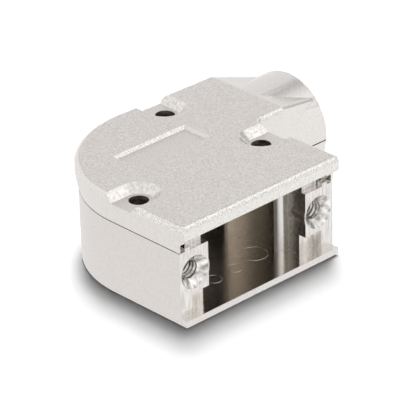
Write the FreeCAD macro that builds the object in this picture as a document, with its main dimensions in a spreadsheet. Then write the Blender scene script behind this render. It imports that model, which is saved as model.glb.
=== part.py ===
import FreeCAD, Part
import math
import os

import Sketcher
from FreeCAD import Vector

# A two-piece die-cast hood for a nine-way D-sub connector, with the cable leaving at one side.
# Millimetres. The origin lies on the underside, below the middle of the connector mouth, in the
# plane that the connector's flange seats against. X runs along the flange towards the cable
# entry, Y runs into the hood and Z runs up through the two halves.

os.makedirs("parts", exist_ok=True)
doc = FreeCAD.newDocument("dsub_hood")

# Driving dimensions
sizes = {
    "width": 30.8,            # across the flange end of the lower half
    "height": 16.3,           # both halves closed
    "depth": 32.2,            # from the flange seat to the back wall
    "back_radius": 17.8,      # the round corner away from the cable
    "wall": 1.5,              # side walls of both halves
    "floor": 1.25,            # underside wall, and the lower lip
    "roof": 1.4,              # top wall
    "lip_reach": 1.2,         # both lips stand this far in front of the seat
    "lip_height": 2.2,        # upper lip
    "lip_back": 1.0,          # the upper lip stays thick this far behind the seat
    "lip_corner": 0.5,        # rounding of the upper lip's two ends
    "seam_height": 11.7,      # parting plane of the body
    "neck_seam": 7.5,         # parting plane of the neck and collar
    "step_side": 17.2,        # where the parting plane steps down
    "seam_gap": 0.12,         # the rims stay open by this when the pillars meet
    "proud": 0.45,            # the upper half overhangs the lower one
    "edge_round": 0.85,       # rounding of the top edge
    "base_round": 0.5,        # rounding of the bottom edge
    "corner_round": 1.2,      # inside corner between body and neck
    "mouth_width": 19.6,      # clear opening between the lugs
    "lug_depth": 6.0,         # lugs behind the seat
    "nub_rise": 0.5,          # raised outer end of each lug, above the parting plane
    "nub_width": 1.0,
    "nub_depth": 1.0,
    "cheek": 1.1,             # side wall of the upper half beside the mouth
    "cheek_height": 1.2,      # pocket low in the front of that wall
    "cheek_depth": 1.2,
    "cheek_skin": 0.25,       # metal left outside the pocket
    "jack_spacing": 24.99,    # jackscrew holes of a nine-way connector
    "jack_height": 7.8,
    "jack_bore": 2.84,        # 4-40 thread, major diameter
    "jack_sink": 5.2,         # mouth of the countersink
    "jack_boss": 5.8,         # boss round each jackscrew hole
    "notch_width": 3.3,       # recess low on the inner side of each lug
    "notch_height": 3.3,
    "notch_depth": 1.3,
    "post_width": 1.9,        # stop rib on the inner side of each lug
    "post_reach": 1.7,        # the rib stands this far into the mouth
    "post_seat": 4.5,         # from the flange seat to the rib
    "screw_span": 24.6,       # the two front case screws
    "screw_front": 11.55,     # from the seat to the front case screws
    "screw_back_side": 9.3,   # the rear case screw, from the middle
    "screw_back": 29.05,      # the rear case screw, from the seat
    "screw_hole": 3.0,        # clearance in the upper half
    "screw_pilot": 2.4,       # pilot in the lower half
    "pilot_depth": 8.5,
    "pocket_width": 6.6,      # head pocket, at the top face
    "pocket_depth": 1.3,
    "pocket_slope": 1.25,     # run of the pocket's sloping wall
    "pocket_wall": 1.3,       # metal round the pocket, below the roof
    "pillar_reach": 4.1,      # front screw pillars, from the screw to the middle
    "pillar_round": 7.4,      # their rear corner, a wide curve
    "pillar_sweep": 4.4,      # length of that curve
    "back_pillar": 6.2,       # rear screw pillar, diameter
    "label_width": 14.5,      # shallow field for a label
    "label_height": 5.5,
    "label_seat": 17.1,       # from the flange seat to the field
    "label_depth": 0.5,
    "label_slope": 0.45,      # run of the field's sloping wall
    "neck_root": 21.4,        # where the neck begins to taper
    "neck_taper": 0.26,       # run of each side per unit of length
    "neck_gap": 0.2,          # opening between the neck's two rims
    "collar_radius": 8.1,
    "collar_end": 30.8,       # outer face of the collar
    "collar_round": 0.3,      # rounding of its outer edge
    "entry_bore": 12.4,       # cable entry
    "entry_length": 7.0,
    "throat_bore": 10.6,      # ring that the strain relief seats against
    "throat_length": 1.6,
    "tab_width": 3.1,         # locating tabs of the upper half, above the lugs
    "tab_inset": 0.4,
    "tab_seat": 1.1,          # from the flange seat to the tabs
}

sheet = doc.addObject("Spreadsheet::Sheet", "Size")
for row, (alias, number) in enumerate(sizes.items(), start=1):
    sheet.set(f"A{row}", alias)
    sheet.set(f"B{row}", str(number))
    sheet.setAlias(f"B{row}", alias)
doc.recompute()

NAMES = sorted(sizes, key=len, reverse=True)


def bound(text):
    """Write a formula in the sheet's words as an expression that reads the sheet."""
    words = text.replace("(", " ( ").replace(")", " ) ").split()
    return " ".join(f"Size.{word}" if word in sizes else word for word in words)


def value(text):
    """Work out such a formula now."""
    return float(sheet.evalExpression(bound(text)))


def plane_of(body, role):
    return next(item for item in body.Origin.OriginFeatures if item.Role == role)


def new_body(name):
    body = doc.addObject("PartDesign::Body", name)
    body.Label = name
    return body


def new_sketch(body, name, role, level):
    """A sketch on one of the body's own planes, moved along that plane's normal by a formula."""
    sketch = body.newObject("Sketcher::SketchObject", name)
    sketch.AttachmentSupport = (plane_of(body, role), [""])
    sketch.MapMode = "FlatFace"
    sketch.setExpression(".AttachmentOffset.Base.z", bound(level))
    return sketch


def dimension(sketch, kind, *where):
    """Add a dimension whose value follows a formula, the last argument."""
    formula = where[-1]
    index = sketch.addConstraint(Sketcher.Constraint(kind, *where[:-1], value(formula)))
    sketch.setExpression(f"Constraints[{index}]", bound(formula))


def arc_between(start, end, radius):
    """The shorter arc from start to end: radius above zero turns left, below zero right."""
    middle = (start + end) * 0.5
    chord = end - start
    left = Vector(-chord.y, chord.x, 0).normalize()
    rise = math.sqrt(max(radius ** 2 - (chord.Length / 2) ** 2, 0.0))
    centre = middle + left * math.copysign(rise, radius)
    circle = Part.Circle(centre, Vector(0, 0, 1), abs(radius))
    first, last = (start, end) if radius > 0 else (end, start)
    angles = [math.atan2(point.y - centre.y, point.x - centre.x) for point in (first, last)]
    return Part.ArcOfCircle(circle, *angles)


def add_outline(sketch, corners):
    """A closed outline through corners given as formulas (x, y) or (x, y, radius, turn).

    A corner with a radius starts an arc to the next corner, which turns left for +1 and right
    for -1. Every corner is held by its two distances from the origin, and every arc by its radius.
    """
    points = [Vector(value(corner[0]), value(corner[1]), 0) for corner in corners]
    ends = []
    for index, corner in enumerate(corners):
        start, end = points[index], points[(index + 1) % len(points)]
        if len(corner) == 4:
            turn = corner[3]
            number = sketch.addGeometry(arc_between(start, end, value(corner[2]) * turn), False)
            dimension(sketch, "Radius", number, corner[2])
            ends.append((number, 1, 2) if turn > 0 else (number, 2, 1))
        else:
            number = sketch.addGeometry(Part.LineSegment(start, end), False)
            ends.append((number, 1, 2))
    for index, corner in enumerate(corners):
        number, first, _ = ends[index]
        before, _, last = ends[index - 1]
        sketch.addConstraint(Sketcher.Constraint("Coincident", before, last, number, first))
        dimension(sketch, "DistanceX", -1, 1, number, first, corner[0])
        dimension(sketch, "DistanceY", -1, 1, number, first, corner[1])


def add_circle(sketch, across, along, radius):
    centre = Vector(value(across), value(along), 0)
    number = sketch.addGeometry(Part.Circle(centre, Vector(0, 0, 1), value(radius)), False)
    dimension(sketch, "Radius", number, radius)
    dimension(sketch, "DistanceX", -1, 1, number, 3, across)
    dimension(sketch, "DistanceY", -1, 1, number, 3, along)


def outline(body, name, role, level, *loops):
    sketch = new_sketch(body, name, role, level)
    for loop in loops:
        add_outline(sketch, loop)
    return sketch


def circles(body, name, role, level, *rings):
    sketch = new_sketch(body, name, role, level)
    for ring in rings:
        add_circle(sketch, *ring)
    return sketch


def extrude(body, kind, name, sketch, length, back=False):
    """Pad or pocket a sketch by a formula, along the feature's own direction or back from it."""
    doc.recompute()
    before = body.Shape.Volume if not body.Shape.isNull() else 0.0
    feature = body.newObject(f"PartDesign::{kind}", name)
    feature.Profile = sketch
    feature.setExpression("Length", bound(length))
    feature.Reversed = back
    doc.recompute()
    change = feature.Shape.Volume - before
    if change * (1 if kind == "Pad" else -1) <= 0:
        raise ValueError(f"{name} changes nothing")
    return feature


def pad(body, name, sketch, length, **options):
    return extrude(body, "Pad", name, sketch, length, **options)


def pocket(body, name, sketch, length, **options):
    return extrude(body, "Pocket", name, sketch, length, **options)


def loft(body, name, first, *others, kind="AdditiveLoft"):
    """Join outlines by flat and conical walls, as metal or, for a SubtractiveLoft, as a recess."""
    feature = body.newObject(f"PartDesign::{kind}", name)
    feature.Profile = first
    feature.Sections = list(others)
    feature.Ruled = True
    doc.recompute()
    return feature


def dress(body, kind, name, size, formula, wanted):
    """Round or bevel the edges of the body that the test picks out."""
    base = body.Tip
    names = [f"Edge{number}" for number, edge in enumerate(base.Shape.Edges, start=1) if wanted(edge)]
    if not names:
        raise ValueError(f"{name} finds no edge")
    feature = body.newObject(f"PartDesign::{kind}", name)
    feature.Base = (base, names)
    feature.setExpression(size, bound(formula))
    doc.recompute()
    if feature.Shape.isNull() or "Invalid" in feature.State:
        raise ValueError(f"{name} fails on {len(names)} edges")
    return feature


def blend(body, name, radius, wanted):
    return dress(body, "Fillet", name, "Radius", radius, wanted)


def bevel(body, name, width, wanted):
    return dress(body, "Chamfer", name, "Size", width, wanted)


def rectangle(left, right, low, high):
    return [(left, low), (right, low), (right, high), (left, high)]


# Formulas that both halves share
SIDE = "width / 2"
MOUTH = "mouth_width / 2"
INNER = "( width / 2 - wall )"
NECK_FRONT = "( depth - height )"
AXIS_Y = "( depth - height / 2 )"
AXIS_Z = "height / 2"
TIP_HALF = "( height / 2 - neck_taper * ( collar_end - neck_root ) )"
TUNNEL_END = "( collar_end - entry_length - throat_length )"
COLLAR_START = "( neck_root - 1 )"
BAND = "( height - lip_height )"


def body_plan(front, end, grow="0"):
    """The body seen from above, grown outwards at the sides and the round corner."""
    return [
        (f"{SIDE} + {grow}", front),
        (f"{SIDE} + {grow}", f"{NECK_FRONT} - corner_round", "corner_round", -1),
        (f"{SIDE} + {grow} + corner_round", NECK_FRONT),
        (end, NECK_FRONT),
        (end, "depth"),
        (f"back_radius - {SIDE}", f"depth + {grow}", f"back_radius + {grow}", 1),
        (f"0 - {SIDE} - {grow}", "depth - back_radius"),
        (f"0 - {SIDE} - {grow}", front),
    ]


def cavity_plan(front):
    """The hollow behind the lugs, seen from above."""
    return [
        (INNER, front),
        (INNER, f"{NECK_FRONT} + wall"),
        ("step_side + 0.5", f"{NECK_FRONT} + wall"),
        ("step_side + 0.5", "depth - wall"),
        (f"back_radius - {SIDE}", "depth - wall", "back_radius - wall", 1),
        (f"0 - {INNER}", "depth - back_radius"),
        (f"0 - {INNER}", front),
    ]


def pillar_plan(side):
    """A front screw pillar: a block from the stop rib to the neck, curved at its rear corner."""
    wall_side = f"{side} * ( {SIDE} - wall / 2 )"
    face = f"{side} * ( screw_span / 2 - pillar_reach )"
    turned = "( pillar_round - ( pillar_round ^ 2 - pillar_sweep ^ 2 ) ^ 0.5 )"
    curve_end = f"{face} + {side} * {turned}"
    back = f"{NECK_FRONT} + wall"
    if side > 0:
        return [(wall_side, "post_seat"), (wall_side, back),
                (curve_end, back, "pillar_round", 1), (face, f"{back} - pillar_sweep"),
                (face, "post_seat")]
    return [(wall_side, back), (wall_side, "post_seat"), (face, "post_seat"),
            (face, f"{back} - pillar_sweep", "pillar_round", 1), (curve_end, back)]


def head_pocket_plans(grow, reach="0"):
    """The three screw-head pockets: round at the screw and open to the nearest outer wall."""
    half = f"( pocket_width / 2 + {grow} )"
    low, high = f"screw_front - {half}", f"screw_front + {half}"
    left, right = f"screw_back_side - {half}", f"screw_back_side + {half}"
    outer = f"( {SIDE} + proud + {reach} )"
    rear = f"( depth + proud + {reach} )"
    return [
        [(f"0 - {outer}", low), ("0 - screw_span / 2", low, half, 1),
         (f"0 - screw_span / 2 + {half}", "screw_front", half, 1),
         ("0 - screw_span / 2", high), (f"0 - {outer}", high)],
        [(outer, high), ("screw_span / 2", high, half, 1),
         (f"screw_span / 2 - {half}", "screw_front", half, 1),
         ("screw_span / 2", low), (outer, low)],
        [(left, rear), (left, "screw_back", half, 1),
         ("screw_back_side", f"screw_back - {half}", half, 1),
         (right, "screw_back"), (right, rear)],
    ]


def stop_plan(side):
    """The rounded rib on a lug's inner side, seen from above."""
    half = "post_width / 2"
    root = f"{side} * ( {MOUTH} + 0.5 )"
    round_start = f"{side} * ( {MOUTH} - post_reach + {half} )"
    tip = f"{side} * ( {MOUTH} - post_reach )"
    low, high = f"post_seat - {half}", f"post_seat + {half}"
    if side > 0:
        low, high = high, low
    return [(root, high), (root, low), (round_start, low, half, 1), (tip, "post_seat", half, 1),
            (round_start, high)]


def label_plan(inset):
    """The label field, seen from above."""
    half = f"( label_width / 2 - {inset} )"
    return rectangle(f"0 - {half}", half, f"label_seat + {inset}",
                     f"label_seat + label_height - {inset}")


def screw_rings(radius):
    return [("screw_span / 2", "screw_front", radius),
            ("0 - screw_span / 2", "screw_front", radius),
            ("screw_back_side", "screw_back", radius)]


def jack_rings(radius):
    return [("jack_spacing / 2", "jack_height", radius),
            ("0 - jack_spacing / 2", "jack_height", radius)]


def both_sides(inner, outer, low, high):
    """Two rectangles, mirrored about the middle."""
    return [rectangle(inner, outer, low, high),
            rectangle(f"0 - ( {outer} )", f"0 - ( {inner} )", low, high)]


def neck_section(low, high, half):
    return rectangle(f"{AXIS_Y} - {half}", f"{AXIS_Y} + {half}", low, high)


def near(number, target):
    return abs(number - target) < 0.02


def flat_at(edge, level):
    """Whether an edge lies at this height."""
    return all(near(point.Z, level) for point in edge.Vertexes) and near(edge.CenterOfMass.z, level)


def across_neck(edge):
    """Whether an edge runs across the neck at its root or its tip."""
    ends = [point.X for point in edge.Vertexes]
    return all(near(x, value("neck_root")) for x in ends) or all(near(x, value("collar_end")) for x in ends)


def along_neck(edge, side):
    """Whether an edge is one of the neck's sloping long edges on the upper or lower side."""
    ends = sorted(edge.Vertexes, key=lambda point: point.X)
    if not near(ends[0].X, value("neck_root")) or not near(ends[-1].X, value("collar_end")):
        return False
    return side * (edge.CenterOfMass.z - value(AXIS_Z)) > value(TIP_HALF) * 0.9


def round_collar_end(edge):
    """Whether an edge is an arc of the collar's outer end."""
    return (all(near(point.X, value("collar_end")) for point in edge.Vertexes)
            and isinstance(edge.Curve, Part.Circle) and near(edge.Curve.Radius, value("collar_radius")))


def bore_entry(body, prefix):
    """The cable entry, the ring behind it and the tunnel to the hollow."""
    tunnel = neck_section("floor", "height - roof", "( height / 2 - wall )")
    pocket(body, f"{prefix}Tunnel", outline(body, f"{prefix}TunnelSection", "YZ_Plane", TUNNEL_END,
           tunnel), f"{TUNNEL_END} - step_side + 0.5")
    pocket(body, f"{prefix}Throat", circles(body, f"{prefix}ThroatRing", "YZ_Plane", "collar_end",
           (AXIS_Y, AXIS_Z, "throat_bore / 2")), f"collar_end - {TUNNEL_END} + 0.5")
    pocket(body, f"{prefix}Entry", circles(body, f"{prefix}EntryRing", "YZ_Plane", "collar_end",
           (AXIS_Y, AXIS_Z, "entry_bore / 2")), "entry_length")


# Lower half: the deep casting, with the two threaded lugs
lower = new_body("lower_shell")
pad(lower, "LowerBlock", outline(lower, "LowerPlan", "XY_Plane", "0", body_plan("0", "step_side")),
    "seam_height")
pad(lower, "LowerNeckRoot", outline(lower, "LowerNeckPlan", "XY_Plane", "0",
    rectangle("step_side - 1", "neck_root", NECK_FRONT, "depth")), "neck_seam")
loft(lower, "LowerNeck",
     outline(lower, "LowerNeckWide", "YZ_Plane", "neck_root",
             neck_section("0", "neck_seam", "height / 2")),
     outline(lower, "LowerNeckNarrow", "YZ_Plane", "collar_end",
             neck_section(f"{AXIS_Z} - {TIP_HALF}", "neck_seam", TIP_HALF)))
pad(lower, "LowerLip", outline(lower, "LowerLipPlan", "XY_Plane", "0",
    rectangle(f"0 - {SIDE}", SIDE, "0 - lip_reach", "1")), "floor")
blend(lower, "BaseRound", "base_round",
      lambda edge: (flat_at(edge, 0) and not across_neck(edge)) or along_neck(edge, -1))

drop = "( height / 2 - neck_seam )"
reach = f"( ( collar_radius ^ 2 - {drop} ^ 2 ) ^ 0.5 )"
pad(lower, "LowerCollar", outline(lower, "LowerCollarSection", "YZ_Plane", COLLAR_START,
    [(f"{AXIS_Y} - {reach}", "neck_seam", "collar_radius", 1),
     (f"{AXIS_Y} + {reach}", "neck_seam")]), f"collar_end - {COLLAR_START}")

blend(lower, "LowerCollarRound", "collar_round", round_collar_end)

pocket(lower, "LowerHollow", outline(lower, "LowerHollowPlan", "XY_Plane", "seam_height",
       cavity_plan("lug_depth")), "seam_height - floor")
pocket(lower, "LowerMouth", outline(lower, "LowerMouthPlan", "XY_Plane", "seam_height",
       rectangle(f"0 - {MOUTH}", MOUTH, "0", "lug_depth + 0.5")), "seam_height - floor")
bore_entry(lower, "Lower")
for side, name in ((1, "Right"), (-1, "Left")):
    pad(lower, f"Lower{name}Pillar", outline(lower, f"Lower{name}PillarPlan", "XY_Plane", "floor / 2",
        pillar_plan(side)), "seam_height - floor / 2")
pad(lower, "LowerBackPillar", circles(lower, "LowerBackPillarRing", "XY_Plane", "floor / 2",
    ("screw_back_side", "screw_back", "back_pillar / 2")), "seam_height - floor / 2")

for side, name in ((1, "Right"), (-1, "Left")):
    pad(lower, f"{name}Stop", outline(lower, f"{name}StopPlan", "XY_Plane", "floor / 2",
        stop_plan(side)), "seam_height - floor / 2")
pad(lower, "JackBosses", circles(lower, "JackBossRings", "XZ_Plane", "0",
    *jack_rings("jack_boss / 2")), "lug_depth", back=True)
pad(lower, "FrontNubs", outline(lower, "FrontNubPlans", "XY_Plane", "seam_height - 0.5",
    *both_sides(f"{SIDE} - cheek - nub_width", f"{SIDE} - cheek", "0", "nub_depth")),
    "nub_rise + 0.5")
pocket(lower, "LugNotches", outline(lower, "LugNotchFaces", "XZ_Plane", "0",
       *both_sides(f"{MOUTH} - 0.5", f"{MOUTH} + notch_width", "floor", "floor + notch_height")),
       "notch_depth")
pocket(lower, "JackHoles", circles(lower, "JackHoleRings", "XZ_Plane", "0",
       *jack_rings("jack_bore / 2")), "lug_depth + 0.5")
bevel(lower, "JackSinks", "( jack_sink - jack_bore ) / 2",
      lambda edge: near(edge.CenterOfMass.y, 0) and near(edge.Length, math.pi * value("jack_bore")))
pocket(lower, "PilotHoles", circles(lower, "PilotRings", "XY_Plane", "seam_height",
       *screw_rings("screw_pilot / 2")), "pilot_depth")

# Upper half: the shallow casting, with the head pockets and the label field
upper = new_body("upper_shell")
END = "( step_side + seam_gap )"
RIM = "( seam_height + seam_gap )"
NECK_RIM = "( neck_seam + neck_gap )"
loft(upper, "UpperSkirt",
     outline(upper, "UpperRimPlan", "XY_Plane", RIM, body_plan("0", END)),
     outline(upper, "UpperBandPlan", "XY_Plane", BAND, body_plan("0", END, "proud")))
pad(upper, "UpperBand", outline(upper, "UpperTopPlan", "XY_Plane", BAND,
    body_plan("0 - lip_reach", END, "proud")), "lip_height")
pad(upper, "UpperNeckRoot", outline(upper, "UpperNeckPlan", "XY_Plane", NECK_RIM,
    rectangle(END, "neck_root", NECK_FRONT, "depth")), "height - " + NECK_RIM)
loft(upper, "UpperNeck",
     outline(upper, "UpperNeckWide", "YZ_Plane", "neck_root",
             neck_section(NECK_RIM, "height", "height / 2")),
     outline(upper, "UpperNeckNarrow", "YZ_Plane", "collar_end",
             neck_section(NECK_RIM, f"{AXIS_Z} + {TIP_HALF}", TIP_HALF)))
lip_end = value(f"{SIDE} + proud")
blend(upper, "LipEnds", "lip_corner",
      lambda edge: near(abs(edge.CenterOfMass.x), lip_end) and near(edge.CenterOfMass.y,
                                                                    -value("lip_reach")))
blend(upper, "TopRound", "edge_round",
      lambda edge: (flat_at(edge, value("height")) and not across_neck(edge)) or along_neck(edge, 1))

drop = "( height / 2 - neck_seam - neck_gap )"
reach = f"( ( collar_radius ^ 2 - {drop} ^ 2 ) ^ 0.5 )"
pad(upper, "UpperCollar", outline(upper, "UpperCollarSection", "YZ_Plane", COLLAR_START,
    [(f"{AXIS_Y} - {reach}", NECK_RIM),
     (f"{AXIS_Y} + {reach}", NECK_RIM, "collar_radius", 1),
     (AXIS_Y, f"{AXIS_Z} + collar_radius", "collar_radius", 1)]), f"collar_end - {COLLAR_START}")

blend(upper, "UpperCollarRound", "collar_round", round_collar_end)

pocket(upper, "UpperHollow", outline(upper, "UpperHollowPlan", "XY_Plane", "height - roof",
       cavity_plan("lip_back")), "height - roof - seam_height")
pocket(upper, "UpperMouth", outline(upper, "UpperMouthPlan", "XY_Plane", BAND,
       rectangle(f"0 - {SIDE} + cheek", f"{SIDE} - cheek", "0", "lip_back + 0.5")),
       f"{BAND} - seam_height")
pocket(upper, "CheekCuts", outline(upper, "CheekCutPlans", "XY_Plane", f"{RIM} + cheek_height",
       *both_sides(f"{SIDE} - cheek - 0.2", f"{SIDE} - cheek_skin", "0", "cheek_depth")),
       "cheek_height + 0.5")
bore_entry(upper, "Upper")
for side, name in ((1, "Right"), (-1, "Left")):
    pad(upper, f"Upper{name}Pillar", outline(upper, f"Upper{name}PillarPlan", "XY_Plane", "seam_height",
        pillar_plan(side)), "height - roof / 2 - seam_height")
pad(upper, "UpperBackPillar", circles(upper, "UpperBackPillarRing", "XY_Plane", "seam_height",
    ("screw_back_side", "screw_back", "back_pillar / 2")), "height - roof / 2 - seam_height")
pad(upper, "LocatingTabs", outline(upper, "LocatingTabPlans", "XY_Plane", "seam_height",
    *both_sides(f"{MOUTH} + tab_inset", f"{MOUTH} + tab_inset + tab_width",
                "tab_seat", "lug_depth")), "height - roof / 2 - seam_height")
FLOOR_LEVEL = "( height - pocket_depth - pocket_wall )"
for index, plan in enumerate(head_pocket_plans("pocket_wall", "0 - pocket_wall / 2"), start=1):
    pad(upper, f"PocketCup{index}", outline(upper, f"PocketCupPlan{index}", "XY_Plane", FLOOR_LEVEL,
        plan), "height - roof / 2 - " + FLOOR_LEVEL)
for index, plans in enumerate(zip(head_pocket_plans("0", "1"),
                                  head_pocket_plans("0 - pocket_slope", "1")), start=1):
    rim, base = plans
    loft(upper, f"HeadPocket{index}",
         outline(upper, f"HeadPocketRim{index}", "XY_Plane", "height", rim),
         outline(upper, f"HeadPocketBase{index}", "XY_Plane", "height - pocket_depth", base),
         kind="SubtractiveLoft")
pocket(upper, "ScrewHoles", circles(upper, "ScrewHoleRings", "XY_Plane", "height",
       *screw_rings("screw_hole / 2")), "height - seam_height + 0.5")
loft(upper, "LabelField",
     outline(upper, "LabelRim", "XY_Plane", "height", label_plan("0")),
     outline(upper, "LabelBase", "XY_Plane", "height - label_depth", label_plan("label_slope")),
     kind="SubtractiveLoft")

doc.recompute()

for item in doc.Objects:
    if "Invalid" in item.State or "Error" in item.State:
        raise ValueError(f"{item.Name} failed: {item.State}")
for shell in (lower, upper):
    if shell.Shape.isNull() or not shell.Shape.isValid() or len(shell.Shape.Solids) != 1:
        raise ValueError(f"{shell.Label} is not one valid solid")
for shell in (lower, upper):
    shell.Shape.exportStep(f"parts/{shell.Label}.step")
    print(shell.Label, round(shell.Shape.Volume, 1), "mm3", len(shell.Shape.Faces), "faces")
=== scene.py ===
import math

import bmesh
import bpy
import numpy as np
from mathutils import Matrix, Vector


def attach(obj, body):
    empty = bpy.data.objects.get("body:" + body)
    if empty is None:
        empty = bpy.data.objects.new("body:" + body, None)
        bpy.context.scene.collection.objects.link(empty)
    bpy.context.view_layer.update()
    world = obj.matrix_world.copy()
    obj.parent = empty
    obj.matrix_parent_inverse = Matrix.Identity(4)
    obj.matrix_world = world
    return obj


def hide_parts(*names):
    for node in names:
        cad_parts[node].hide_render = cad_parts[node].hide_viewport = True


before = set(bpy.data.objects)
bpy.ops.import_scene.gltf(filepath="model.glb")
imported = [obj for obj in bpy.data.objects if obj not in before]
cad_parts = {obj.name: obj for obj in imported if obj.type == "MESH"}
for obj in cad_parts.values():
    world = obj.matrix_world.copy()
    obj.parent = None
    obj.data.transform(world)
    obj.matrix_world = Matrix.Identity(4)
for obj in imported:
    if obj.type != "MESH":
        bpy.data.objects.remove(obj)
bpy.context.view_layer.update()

# The look of a die-cast D-sub hood: two plated castings, smooth at the sides, grained on top and
# mirror-bright inside. Metres everywhere; X runs along the flange towards the cable entry, Y from
# the flange into the hood and Z up from the underside.

MM = 0.001

# Sizes of the two castings together
HALF_WIDTH = 15.4 * MM
DEPTH = 32.2 * MM
HEIGHT = 16.3 * MM
BACK_RADIUS = 17.8 * MM
WALL = 1.5 * MM
FLOOR = 1.25 * MM
CEILING = HEIGHT - 1.4 * MM
ROUNDING = 0.86 * MM
LIP_FRONT = -1.2 * MM
SEAM = 11.7 * MM

# Mouth, lugs, stop posts and screw holes
HALF_MOUTH = 9.8 * MM
LUG_DEPTH = 6.0 * MM
POST_WIDTH = 1.75 * MM
POST_FRONT = 3.5 * MM
POST_BACK = 5.45 * MM
TAB_TOP = 14.0 * MM
JACK_X = 24.99 / 2 * MM
JACK_Z = 7.8 * MM
JACK_BORE = 1.42 * MM
JACK_CONE = 2.65 * MM
JACK_CONE_DEPTH = 1.2 * MM
CASE_SCREWS = ((-12.3 * MM, 11.55 * MM), (12.3 * MM, 11.55 * MM), (9.3 * MM, 29.05 * MM))
SCREW_HOLE = 1.5 * MM
POCKET_RADIUS = 5.2 * MM
POCKET_FLOOR = 15.0 * MM

# Label field on top
LABEL_HALF_WIDTH = 7.3 * MM
LABEL_FRONT = 17 * MM
LABEL_BACK = 22.7 * MM
LABEL_FLOOR = 15.7 * MM

# Neck and collar, whose axis lies along X
NECK_ROOT = 21.4 * MM
NECK_SEAM = 7.5 * MM
NECK_SEAM_START = 17 * MM
AXIS_Y = DEPTH - HEIGHT / 2
AXIS_Z = HEIGHT / 2
COLLAR_BORE = 6.2 * MM
TUNNEL_START = 13 * MM
TUNNEL_END = NECK_ROOT + 1.05 * MM
THROAT_START = 13.5 * MM

# How close the centre of a face lies to the place it belongs to, roughly and strictly
NEAR = 0.05 * MM
TOUCH = 0.01 * MM

# The photograph's viewing angle: which way the camera looks, how far down, and its roll
AZIMUTH, ELEVATION, ROLL = (math.radians(angle) for angle in (43.087, 27.616, -1.486))


# Nodes

def new_material(name):
    """An empty node material with its output node."""
    material = bpy.data.materials.new(name)
    material.use_nodes = True
    material.node_tree.nodes.clear()
    output = material.node_tree.nodes.new("ShaderNodeOutputMaterial")
    return material, material.node_tree, output


def add_node(tree, kind, **settings):
    """A node of this kind, with attributes and, by name or number, input values set."""
    node = tree.nodes.new(kind)
    for key, setting in settings.items():
        if key == "inputs":
            for socket, number in setting.items():
                node.inputs[socket].default_value = number
        else:
            setattr(node, key, setting)
    return node


def object_noise(tree, scale, detail=2.0, roughness=0.5, stretch=(1, 1, 1)):
    """Noise on Object coordinates; the scale counts cells per metre."""
    place = add_node(tree, "ShaderNodeTexCoord")
    mapping = add_node(tree, "ShaderNodeMapping", inputs={"Scale": stretch})
    noise = add_node(tree, "ShaderNodeTexNoise",
                     inputs={"Scale": scale, "Detail": detail, "Roughness": roughness})
    tree.links.new(place.outputs["Object"], mapping.inputs["Vector"])
    tree.links.new(mapping.outputs["Vector"], noise.inputs["Vector"])
    return noise.outputs["Fac"]


def ramp(tree, source, low, high, first, last):
    """Map the source from low..high onto first..last, clamped."""
    node = add_node(tree, "ShaderNodeMapRange",
                    inputs={"From Min": low, "From Max": high, "To Min": first, "To Max": last})
    tree.links.new(source, node.inputs["Value"])
    return node.outputs["Result"]


def combine(tree, operation, sockets):
    """All the sockets' numbers joined by one operation, such as MULTIPLY or MAXIMUM."""
    total = sockets[0]
    for socket in sockets[1:]:
        node = add_node(tree, "ShaderNodeMath", operation=operation)
        tree.links.new(total, node.inputs[0])
        tree.links.new(socket, node.inputs[1])
        total = node.outputs[0]
    return total


def blend_colours(tree, amount, first, last):
    """Mix two colours by an amount from 0 to 1; each is a plain colour or a socket."""
    node = add_node(tree, "ShaderNodeMix", data_type="RGBA")
    tree.links.new(amount, node.inputs["Factor"])
    for socket, colour in (("A", first), ("B", last)):
        target = [item for item in node.inputs if item.name == socket and item.type == "RGBA"][0]
        if isinstance(colour, bpy.types.NodeSocket):
            tree.links.new(colour, target)
        else:
            target.default_value = (*colour, 1.0)
    return [item for item in node.outputs if item.type == "RGBA"][0]


# Finishes

def plated(name, pale, dark, roughness, grain=4500, height=0.006, edge=0.12, mottling=2500,
           stretch=(1, 1, 1), fade=None):
    """Plated zinc: two close tones mottled by noise, and a fine grain in bump and roughness.

    Grain and mottling are cells per metre, stretched along an axis where its number is under 1;
    the grain's height and the softened edge are in millimetres. A fade is painted shade: it gives
    two depths behind the mouth in millimetres and the share of the dark tone that is left at the
    first of them, where the tone is darkest; past the second the tone is full.
    """
    material, tree, output = new_material(name)
    metal = add_node(tree, "ShaderNodeBsdfPrincipled", inputs={"Metallic": 1.0})
    fine = object_noise(tree, grain, detail=3.0, roughness=0.6, stretch=stretch)
    broad = object_noise(tree, mottling, detail=2.0, stretch=stretch)
    colour = blend_colours(tree, ramp(tree, broad, 0.35, 0.65, 0.0, 1.0), dark, pale)
    # Painted shade and light: the tone is darkest towards the mouth and full further in
    if fade:
        near_depth, far_depth, share = fade
        place = add_node(tree, "ShaderNodeSeparateXYZ")
        tree.links.new(add_node(tree, "ShaderNodeTexCoord").outputs["Object"], place.inputs[0])
        amount = ramp(tree, place.outputs["Y"], near_depth * MM, far_depth * MM, 0.0, 1.0)
        colour = blend_colours(tree, amount, tuple(share * tone for tone in dark), colour)
    tree.links.new(colour, metal.inputs["Base Color"])
    tree.links.new(ramp(tree, fine, 0.3, 0.7, *roughness), metal.inputs["Roughness"])
    soft_edge = add_node(tree, "ShaderNodeBevel", samples=4, inputs={"Radius": edge * MM})
    bump = add_node(tree, "ShaderNodeBump", inputs={"Strength": 1.0, "Distance": height * MM})
    tree.links.new(fine, bump.inputs["Height"])
    tree.links.new(soft_edge.outputs["Normal"], bump.inputs["Normal"])
    tree.links.new(bump.outputs["Normal"], metal.inputs["Normal"])
    tree.links.new(metal.outputs["BSDF"], output.inputs["Surface"])
    return material


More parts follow.
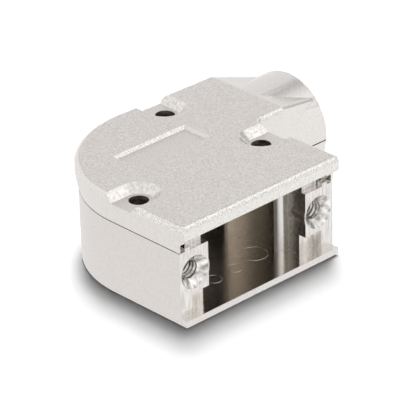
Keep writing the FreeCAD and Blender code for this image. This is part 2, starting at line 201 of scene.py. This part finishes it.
FINISHES = {
    "side": plated("smooth_side", (0.755, 0.72, 0.695), (0.715, 0.68, 0.655), (0.26, 0.36),
                   grain=3000, height=0.002),
    "skirt": plated("bright_skirt", (0.80, 0.765, 0.74), (0.75, 0.715, 0.69), (0.24, 0.34),
                    grain=3000, height=0.003),
    "top": plated("grained_top", (0.80, 0.765, 0.74), (0.575, 0.545, 0.525), (0.36, 0.55),
                  grain=5000, height=0.024, mottling=5000),
    # Roundings that face the front: a speckled grain, and a paler tone than the top as a painted
    # highlight
    "edge": plated("rounding_grain_and_painted_highlight", (0.96, 0.93, 0.90), (0.60, 0.575, 0.55), (0.16, 0.34),
                   grain=4600, height=0.020, mottling=5200),
    # The lid's front lip: grain, and a paler tone than the skirt as painted light
    "lip": plated("lip_painted_light", (0.93, 0.91, 0.875), (0.74, 0.72, 0.69), (0.16, 0.34),
                  grain=4600, height=0.012, mottling=5200),
    # Pillar faces: paler than the rest of the hollow as a painted highlight on their rear part, and
    # darkened towards the mouth as painted shade
    "pillar": plated("pillar_face_painted_light", (0.95, 0.91, 0.855), (0.88, 0.84, 0.785), (0.12, 0.20),
                     grain=3000, height=0.0012, mottling=1800, fade=(5.5, 14.5, 0.35)),
    "pocket": plated("pocket_wall", (0.82, 0.795, 0.76), (0.66, 0.635, 0.60), (0.12, 0.26),
                     grain=2600, height=0.012, mottling=2000),
    "label": plated("label_wall", (0.86, 0.83, 0.79), (0.60, 0.57, 0.53), (0.16, 0.30),
                    grain=4000, height=0.018, mottling=4200),
    "neck": plated("satin_neck", (0.72, 0.695, 0.675), (0.65, 0.625, 0.605), (0.18, 0.28),
                   grain=4200, height=0.006, mottling=4200),
    # The neck's front faces: a paler copy of the neck's tone, painted light
    "neck_front": plated("neck_front_painted_light", (0.83, 0.80, 0.775), (0.79, 0.76, 0.735),
                         (0.16, 0.26), grain=3000, height=0.003),
    "inside": plated("bright_inside", (0.80, 0.765, 0.72), (0.73, 0.695, 0.65), (0.12, 0.20),
                     grain=3000, height=0.0012, mottling=1800),
    # Darker metal as painted shade: deep in the cable tunnel, on the stop posts' front faces and on
    # the lugs' inner sides beside the mouth
    "throat": plated("throat_painted_shade", (0.52, 0.50, 0.465), (0.44, 0.42, 0.39), (0.25, 0.40),
                     grain=3000, height=0.003, mottling=1800),
    "mouth": plated("bright_mouth", (0.88, 0.855, 0.83), (0.68, 0.655, 0.63), (0.14, 0.26),
                    grain=3000, height=0.004, stretch=(1, 1, 0.15)),
    # Countersinks: radial streaks of tool marks, with their dark tone as painted shade
    "cone": plated("countersink_streaks_and_painted_shade", (0.96, 0.94, 0.92), (0.36, 0.34, 0.32), (0.10, 0.22),
                   grain=2600, height=0.004, mottling=1100, stretch=(1, 0.2, 1)),
    # Near-white on the stop posts' sides and ends: a painted highlight
    "post": plated("post_painted_highlight", (0.98, 0.965, 0.94), (0.94, 0.925, 0.90), (0.50, 0.60),
                   grain=3000, height=0.003),
    # The rims the castings meet on: dark as painted shade in the seam between them
    "rim": plated("seam_rim_painted_shade", (0.30, 0.28, 0.25), (0.22, 0.20, 0.18), (0.35, 0.5), height=0.002),
    "bore": plated("bored_hole", (0.78, 0.73, 0.67), (0.30, 0.275, 0.24), (0.30, 0.45),
                   grain=3000, height=0.01, mottling=1500, stretch=(0.3, 0.3, 1)),
    "thread": plated("thread_metal", (0.66, 0.63, 0.60), (0.26, 0.24, 0.22), (0.12, 0.22),
                     grain=3000, height=0.002, mottling=1300),
}
NUMBER = {name: number for number, name in enumerate(FINISHES)}


# The zones of the castings that get a finish of their own

def near(values, target, within=NEAR):
    """Where the values lie closer to the target than this."""
    return np.abs(values - target) < within


def between(values, low, high):
    """Where the values lie between the two."""
    return (values > low) & (values < high)


def inset_from_wall(x, y):
    """How far a point lies inside the body's outer wall, seen from above, ignoring the neck.

    It is the distance to the nearer straight side or to the back, and in the left back corner
    the corner's radius less the distance from its centre.
    """
    straight = np.minimum(HALF_WIDTH - np.abs(x), DEPTH - y)
    centre_x, centre_y = BACK_RADIUS - HALF_WIDTH, DEPTH - BACK_RADIUS
    corner = BACK_RADIUS - np.hypot(x - centre_x, y - centre_y)
    return np.where((x < centre_x) & (y > centre_y), corner, straight)


def inside_faces(centre, up):
    """Which faces lie on the hollow's walls, from their centres and how far they face up."""
    x, y, z = centre.T
    under_ceiling = (z < CEILING - 2 * TOUCH) | ((z < CEILING + 2 * NEAR) & (up < -0.9))
    floor = (up > 0.9) & near(z, FLOOR) & (np.abs(x) < HALF_MOUTH)
    within_walls = inset_from_wall(x, y) > WALL * 0.6
    hollow = within_walls & ((y > 0.2 * MM) | floor) & (x < NECK_ROOT - 4 * MM)
    from_axis = np.hypot(y - AXIS_Y, z - AXIS_Z)
    square = np.maximum(np.abs(y - AXIS_Y), np.abs(z - AXIS_Z))
    tunnel = between(x, TUNNEL_START, TUNNEL_END) & (square < HEIGHT / 2 - WALL * 0.6)
    bore = (x > NECK_ROOT) & (from_axis < COLLAR_BORE + 0.4 * MM)
    return (z > FLOOR - 0.3 * MM) & under_ceiling & (hollow | tunnel | bore)


def finish_of_faces(node, centre, normal):
    """The finish of each face, as its number in FINISHES, from the face's centre and normal.

    The normal's three parts say how far the face looks along X, Y and Z, from -1 to 1. Each step
    paints the finish of one zone, and a later zone covers an earlier one.
    """
    x, y, z = centre.T
    across, inward, up = normal.T
    off_middle = np.abs(x)
    from_wall = inset_from_wall(x, y)
    from_screw = np.min([np.hypot(x - px, y - py) for px, py in CASE_SCREWS], axis=0)
    from_jack = np.hypot(off_middle - JACK_X, z - JACK_Z)
    upper = node == "upper_shell"
    finish = np.full(len(centre), NUMBER["skirt" if upper else "side"])

    def paint(name, where):
        finish[where] = NUMBER[name]

    # Outer faces and neck
    outside_bore = np.hypot(y - AXIS_Y, z - AXIS_Z) > COLLAR_BORE + NEAR
    neck = (x > NECK_ROOT - TOUCH) & outside_bore
    steep = np.abs(up) < 0.9
    neck_wall = (x > HALF_WIDTH + TOUCH) & steep & (from_wall < WALL * 0.6) & outside_bore
    neck_front = (neck | neck_wall) & (inward < -0.8)
    rounding_height = z > HEIGHT - ROUNDING
    body_rounding = rounding_height & (x < NECK_ROOT)
    if upper:
        paint("top", (up > 0.97) & (z > POCKET_FLOOR - 0.2 * MM) & ~neck)
        rounding = rounding_height & (z < HEIGHT - TOUCH / 2) & between(up, 0.03, 0.97)
        seen_rounding = (inward < -0.2) | ((across < -0.2) & (y < 8.5 * MM))
        # Painted highlight and grain on the roundings that face the front
        paint("edge", rounding & seen_rounding & ~neck)
        # Painted light and grain on the lid's front lip
        paint("lip", (inward < -0.95) & (y < LIP_FRONT + 2 * NEAR) & (z < HEIGHT - 0.8 * MM))
        pocket_wall = between(z, POCKET_FLOOR + TOUCH, HEIGHT - TOUCH) & between(up, 0.3, 0.85)
        paint("pocket", pocket_wall & (from_screw < POCKET_RADIUS) & (from_wall > 2 * NEAR))
    else:
        paint("skirt", (y < TOUCH) & (z < FLOOR + TOUCH))
    paint("neck", neck | (neck_wall & ~body_rounding))
    # Painted light: the neck's front faces paler than the rest of the neck
    paint("neck_front", neck_front & ~body_rounding)

    # The rims that the castings meet on, dark as painted shade in the seam, and the hollow
    outer_wall = (np.abs(across) > 0.9) & (off_middle > HALF_WIDTH - TOUCH)
    lugs = (off_middle > HALF_MOUTH + NEAR) & (y < LUG_DEPTH + TOUCH) & (z > FLOOR) & ~outer_wall
    posts = between(off_middle, HALF_MOUTH - POST_WIDTH, HALF_MOUTH)
    posts &= between(y, 0, POST_BACK + 2 * NEAR)
    level = np.abs(up) > 0.9
    rims = level & near(z, SEAM + 0.06 * MM, 2 * NEAR)
    neck_rims = level & near(z, NECK_SEAM + 2 * NEAR, 3 * NEAR) & (x > NECK_SEAM_START)
    # Painted shade in the seam: the meeting rims go dark
    paint("rim", (rims & ~lugs & ~posts) | neck_rims)
    inside = inside_faces(centre, up) & ~lugs & ~rims & ~neck_rims
    paint("inside", inside)
    # Painted shade deep in the tunnel towards the cable entry
    paint("throat", inside & (x > THROAT_START))
    # Painted highlight and shade on the pillars' side faces
    paint("pillar", inside & (np.abs(across) > 0.9) & between(off_middle, 7 * MM, 9 * MM))

    # Screw holes, label field, lugs and stop posts
    if upper:
        paint("bore", near(from_screw, SCREW_HOLE) & (np.abs(up) < 0.5) & (z > SEAM))
        over_label = (off_middle < LABEL_HALF_WIDTH) & between(y, LABEL_FRONT, LABEL_BACK)
        label_walls = over_label & (z > LABEL_FLOOR) & (up < 0.95)
        paint("side", label_walls)
        paint("label", label_walls & (inward < -0.3))
        paint("mouth", lugs & between(z, SEAM - 2 * NEAR, TAB_TOP))
    else:
        above_floor = z > FLOOR + NEAR
        turned = np.abs(across) > 0.3
        paint("mouth", lugs | (posts & above_floor))
        # Painted shade on the stop posts' front faces
        paint("throat", posts & (inward < -0.95) & above_floor)
        # Painted highlight on the stop posts' sides and ends
        paint("post", posts & (inward > -0.95) & turned & (y > POST_FRONT))
        beside_mouth = near(off_middle, HALF_MOUTH, 0.4 * MM) & (off_middle < HALF_MOUTH + 2 * NEAR)
        lug_sides = beside_mouth & between(y, 0, POST_FRONT) & turned & (inward > -0.3)
        # Painted shade on the lugs' inner sides beside the mouth
        paint("throat", lug_sides & above_floor)
        # Tool-mark streaks and painted shade on the countersinks
        paint("cone", lugs & between(from_jack, JACK_BORE, JACK_CONE) & (np.abs(inward) < 0.95))
        paint("thread", lugs & near(from_jack, JACK_BORE, 3 * TOUCH) & (y > JACK_CONE_DEPTH))
    return finish


# The two castings, from the CAD nodes' meshes

def casting(node, name):
    """A merged copy of a CAD node, with a finish for each of its faces.

    It is smooth-shaded, except across edges where the faces turn by more than 25 degrees. The
    normals that come with the node's mesh are dropped, because they blur those edges.
    """
    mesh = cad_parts[node].data.copy()
    mesh.name = name
    if "custom_normal" in mesh.attributes:
        mesh.attributes.remove(mesh.attributes["custom_normal"])
    work = bmesh.new()
    work.from_mesh(mesh)
    bmesh.ops.remove_doubles(work, verts=work.verts, dist=1e-6)
    for edge in work.edges:
        edge.smooth = edge.is_manifold and edge.calc_face_angle() < math.radians(25)
    work.to_mesh(mesh)
    work.free()
    count = len(mesh.polygons)
    centre, normal = np.zeros(count * 3), np.zeros(count * 3)
    mesh.polygons.foreach_get("center", centre)
    mesh.polygons.foreach_get("normal", normal)
    mesh.materials.clear()
    for finish in FINISHES.values():
        mesh.materials.append(finish)
    number = finish_of_faces(node, centre.reshape(-1, 3), normal.reshape(-1, 3))
    mesh.polygons.foreach_set("material_index", number.astype(np.int32))
    mesh.polygons.foreach_set("use_smooth", np.ones(count, dtype=bool))
    mesh.update()
    shell = bpy.data.objects.new(name, mesh)
    bpy.context.scene.collection.objects.link(shell)
    weights = shell.modifiers.new("even_normals", "WEIGHTED_NORMAL")
    weights.keep_sharp = True
    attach(shell, "root")
    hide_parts(node)


casting("lower_shell", "lower_casting")
casting("upper_shell", "upper_casting")


# Small pieces worked out on grids

def ring_piece(name, points, finish):
    """A quad surface through a grid of points (rows, columns, 3), closed along both ways."""
    rows, columns = points.shape[:2]
    number = np.arange(rows * columns).reshape(rows, columns)
    number = np.pad(number, ((0, 1), (0, 1)), mode="wrap")
    quads = np.stack([number[:-1, :-1], number[1:, :-1], number[1:, 1:], number[:-1, 1:]], axis=-1)
    mesh = bpy.data.meshes.new(name)
    mesh.from_pydata(points.reshape(-1, 3), [], quads.reshape(-1, 4))
    mesh.materials.append(FINISHES[finish])
    mesh.shade_smooth()
    mesh.update()
    piece = bpy.data.objects.new(name, mesh)
    bpy.context.scene.collection.objects.link(piece)
    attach(piece, "root")


def jack_thread(name, side):
    """The thread of a jackscrew hole, 0.635 mm pitch; the side is -1 at the left, 1 at the right.

    Radius = bore - depth * fade * triangle(y / pitch - angle / turn): the ridge climbs one pitch
    in each turn and fades out at both ends. A second layer outside the bore wall closes it.
    """
    pitch, depth, start, end = 0.635 * MM, 0.30 * MM, 1.1 * MM, 5.9 * MM
    angle = np.linspace(0, 2 * math.pi, 48, endpoint=False)[:, None]
    along = np.linspace(start, end, 120)[None, :]
    phase = (along / pitch - side * angle / (2 * math.pi)) % 1.0
    ridge = np.clip(1.25 - 2.5 * np.abs(phase - 0.5), 0.0, 1.0)
    fade = np.clip((along - start) / pitch, 0, 1) * np.clip((end - along) / pitch, 0, 1)
    inner = JACK_BORE + TOUCH - depth * ridge * fade
    outer = np.full_like(inner, JACK_BORE + NEAR)
    radius = np.hstack([inner, outer[:, ::-1]])
    depth_along = np.hstack([along + 0 * angle, along[:, ::-1] + 0 * angle])
    points = np.stack([side * JACK_X + radius * np.cos(angle),
                       depth_along,
                       JACK_Z + radius * np.sin(angle)], axis=-1)
    ring_piece(name, points, "thread")


jack_thread("jack_thread_left", -1)
jack_thread("jack_thread_right", 1)


def ejector_rim(name, x, y, radius):
    """The rim that an ejector pin leaves on the floor: a low rounded ring, half sunk in it.

    Distance from the ring's centre = radius + half * cos(section), and height above the floor =
    rise * sin(section), carried once around.
    """
    half, rise = 0.05 * MM, 0.04 * MM
    around = np.linspace(0, 2 * math.pi, 64, endpoint=False)[:, None]
    section = np.linspace(0, 2 * math.pi, 10, endpoint=False)[None, :]
    spread = radius + half * np.cos(section)
    points = np.stack([x + spread * np.cos(around),
                       y + spread * np.sin(around),
                       FLOOR + rise * np.sin(section) + 0 * around], axis=-1)
    ring_piece(name, points, "inside")


ejector_rim("ejector_rim_right", 5.4 * MM, 6.4 * MM, 2.1 * MM)
ejector_rim("ejector_rim_middle", 0.3 * MM, 5.3 * MM, 1.2 * MM)
ejector_rim("ejector_rim_left", -4.0 * MM, 5.1 * MM, 1.2 * MM)


# Floor and white room

# Zones of the white room that mirror-like metal sees darker: direction, angle from it up to which
# the zone is full, angle at which it ends, both in degrees, and the share of white left in it
DARKER_ZONES = (((0.605, 0.22, 0.77), 5, 14, 0.62),
                ((0.925, -0.158, 0.342), 9, 22, 0.62),
                ((0.29, 0.66, 0.70), 4, 12, 0.55))
WHITE = (1, 1, 1, 1)


def rays_of(tree, kinds):
    """1 for rays of these kinds, from Light Path, until the light has met a matt surface.

    So mirror-like metal shows the white room to the camera but throws no light on the floor.
    """
    path = add_node(tree, "ShaderNodeLightPath")
    before_matt = add_node(tree, "ShaderNodeMath", operation="LESS_THAN", inputs={1: 0.5})
    tree.links.new(path.outputs["Diffuse Depth"], before_matt.inputs[0])
    any_kind = combine(tree, "MAXIMUM", [path.outputs[kind] for kind in kinds])
    return combine(tree, "MULTIPLY", [any_kind, before_matt.outputs[0]])


def pale_floor(name, colour, lift):
    """A matt pale floor that shows as white where no shadow falls.

    The camera sees a little light of its own added to it. Mirror-like surfaces see plain white.
    """
    material, tree, output = new_material(name)
    matt = add_node(tree, "ShaderNodeBsdfDiffuse", inputs={"Color": (*colour, 1.0)})
    glow = add_node(tree, "ShaderNodeEmission", inputs={"Color": WHITE})
    tree.links.new(ramp(tree, rays_of(tree, ["Is Camera Ray"]), 0, 1, 0, lift),
                   glow.inputs["Strength"])
    total = add_node(tree, "ShaderNodeAddShader")
    tree.links.new(matt.outputs[0], total.inputs[0])
    tree.links.new(glow.outputs[0], total.inputs[1])
    white = add_node(tree, "ShaderNodeEmission", inputs={"Color": WHITE, "Strength": 1.0})
    choice = add_node(tree, "ShaderNodeMixShader")
    tree.links.new(rays_of(tree, ["Is Glossy Ray", "Is Transmission Ray"]), choice.inputs[0])
    tree.links.new(total.outputs[0], choice.inputs[1])
    tree.links.new(white.outputs[0], choice.inputs[2])
    tree.links.new(choice.outputs[0], output.inputs["Surface"])
    return material


def share_of_white(tree):
    """The share of white that the room has in each direction, from DARKER_ZONES.

    A zone's share is full up to its inner angle and goes over to 1 at its outer one, along the
    cosine of the angle from its middle. The shares of all zones are multiplied.
    """
    direction = add_node(tree, "ShaderNodeTexCoord").outputs["Generated"]
    shares = []
    for towards, inner, outer, share in DARKER_ZONES:
        cosine = add_node(tree, "ShaderNodeVectorMath", operation="DOT_PRODUCT",
                          inputs={1: Vector(towards).normalized()})
        tree.links.new(direction, cosine.inputs[0])
        shares.append(ramp(tree, cosine.outputs["Value"], math.cos(math.radians(outer)),
                           math.cos(math.radians(inner)), 1.0, share))
    return combine(tree, "MULTIPLY", shares)


def white_room(name, plain_strength):
    """A world that is white to camera, mirror and glass rays, with its zones darker in mirrors.

    Other rays find only the plain strength in it, so that the lamps make the floor's shadow.
    """
    world = bpy.data.worlds.new(name)
    bpy.context.scene.world = world
    world.use_nodes = True
    tree = world.node_tree
    tree.nodes.clear()
    camera_ray = add_node(tree, "ShaderNodeLightPath").outputs["Is Camera Ray"]
    brightness = combine(tree, "MAXIMUM", [share_of_white(tree), camera_ray])
    seen = rays_of(tree, ["Is Camera Ray", "Is Glossy Ray", "Is Transmission Ray"])
    strength = combine(tree, "MULTIPLY", [ramp(tree, seen, 0, 1, plain_strength, 1.0), brightness])
    surround = add_node(tree, "ShaderNodeBackground", inputs={"Color": WHITE})
    tree.links.new(strength, surround.inputs["Strength"])
    output = add_node(tree, "ShaderNodeOutputWorld")
    tree.links.new(surround.outputs[0], output.inputs["Surface"])


floor_mesh = bpy.data.meshes.new("studio_floor")
floor_mesh.from_pydata([(-3, -3, 0), (3, -3, 0), (3, 3, 0), (-3, 3, 0)], [], [(0, 1, 2, 3)])
floor_mesh.materials.append(pale_floor("pale_floor", (0.88, 0.88, 0.88), 0.05))
studio_floor = bpy.data.objects.new("studio_floor", floor_mesh)
bpy.context.scene.collection.objects.link(studio_floor)
white_room("studio", 0.02)


# Lamps

def aim(lamp, away):
    """Turn a lamp so that it shines from this direction."""
    lamp.rotation_euler = Vector(away).to_track_quat("Z", "Y").to_euler()
    bpy.context.scene.collection.objects.link(lamp)


def key_light(name, tilt, strength, spread=15):
    """A soft far lamp above and behind the hood, tilted back by some degrees.

    It only lights the floor: the metal shows the white room instead.
    """
    data = bpy.data.lights.new(name, "SUN")
    data.energy = strength
    data.angle = math.radians(spread)
    lamp = bpy.data.objects.new(name, data)
    lean = math.radians(tilt)
    aim(lamp, (math.sin(AZIMUTH) * math.sin(lean), math.cos(AZIMUTH) * math.sin(lean), math.cos(lean)))
    lamp.visible_glossy = False


def soft_lamp(name, place, size, power, target=(0.004, 0.014, 0.006)):
    """A square area lamp at a place, turned towards the hood, that only the metal shows."""
    data = bpy.data.lights.new(name, "AREA")
    data.shape = "SQUARE"
    data.size = size
    data.energy = power
    lamp = bpy.data.objects.new(name, data)
    lamp.location = place
    aim(lamp, Vector(place) - Vector(target))
    lamp.visible_diffuse = False


for number, tilt in enumerate((5, 15, 27)):
    key_light(f"key_lamp_{number + 1}", tilt, 1.25)
soft_lamp("front_lamp", (0.373, -0.23, 0.427), 0.30, 0.075)


# Camera, fitted to the photograph

TARGET = Vector((0.0, 12.8, 8.0)) * MM
DISTANCE = 454.293 * MM
SLIDE_RIGHT, SLIDE_UP = 0.564 * MM, 1.685 * MM
SENSOR, FOCAL_PIXELS, IMAGE_PIXELS = 36, 3102.36, 400

forward = Vector((math.sin(AZIMUTH) * math.cos(ELEVATION), math.cos(AZIMUTH) * math.cos(ELEVATION),
                  -math.sin(ELEVATION)))
level_right = Vector((math.cos(AZIMUTH), -math.sin(AZIMUTH), 0))
level_up = level_right.cross(forward)
right = math.cos(ROLL) * level_right + math.sin(ROLL) * level_up
up = math.cos(ROLL) * level_up - math.sin(ROLL) * level_right
camera_place = TARGET - forward * DISTANCE + right * SLIDE_RIGHT + up * SLIDE_UP
camera_data = bpy.data.cameras.new("camera")
camera_data.sensor_width = SENSOR
camera_data.lens = SENSOR * FOCAL_PIXELS / IMAGE_PIXELS
camera_data.clip_start = 0.01
camera_data.clip_end = 20
camera = bpy.data.objects.new("camera", camera_data)
camera.matrix_world = (Matrix.Translation(camera_place)
                       @ Matrix((right, up, -forward)).transposed().to_4x4())
bpy.context.scene.collection.objects.link(camera)
bpy.context.scene.camera = camera
bpy.context.scene.view_settings.view_transform = "Standard"

# Light is followed over six mirror bounces; beyond them the hollow stays dark
bpy.context.scene.cycles.glossy_bounces = 6
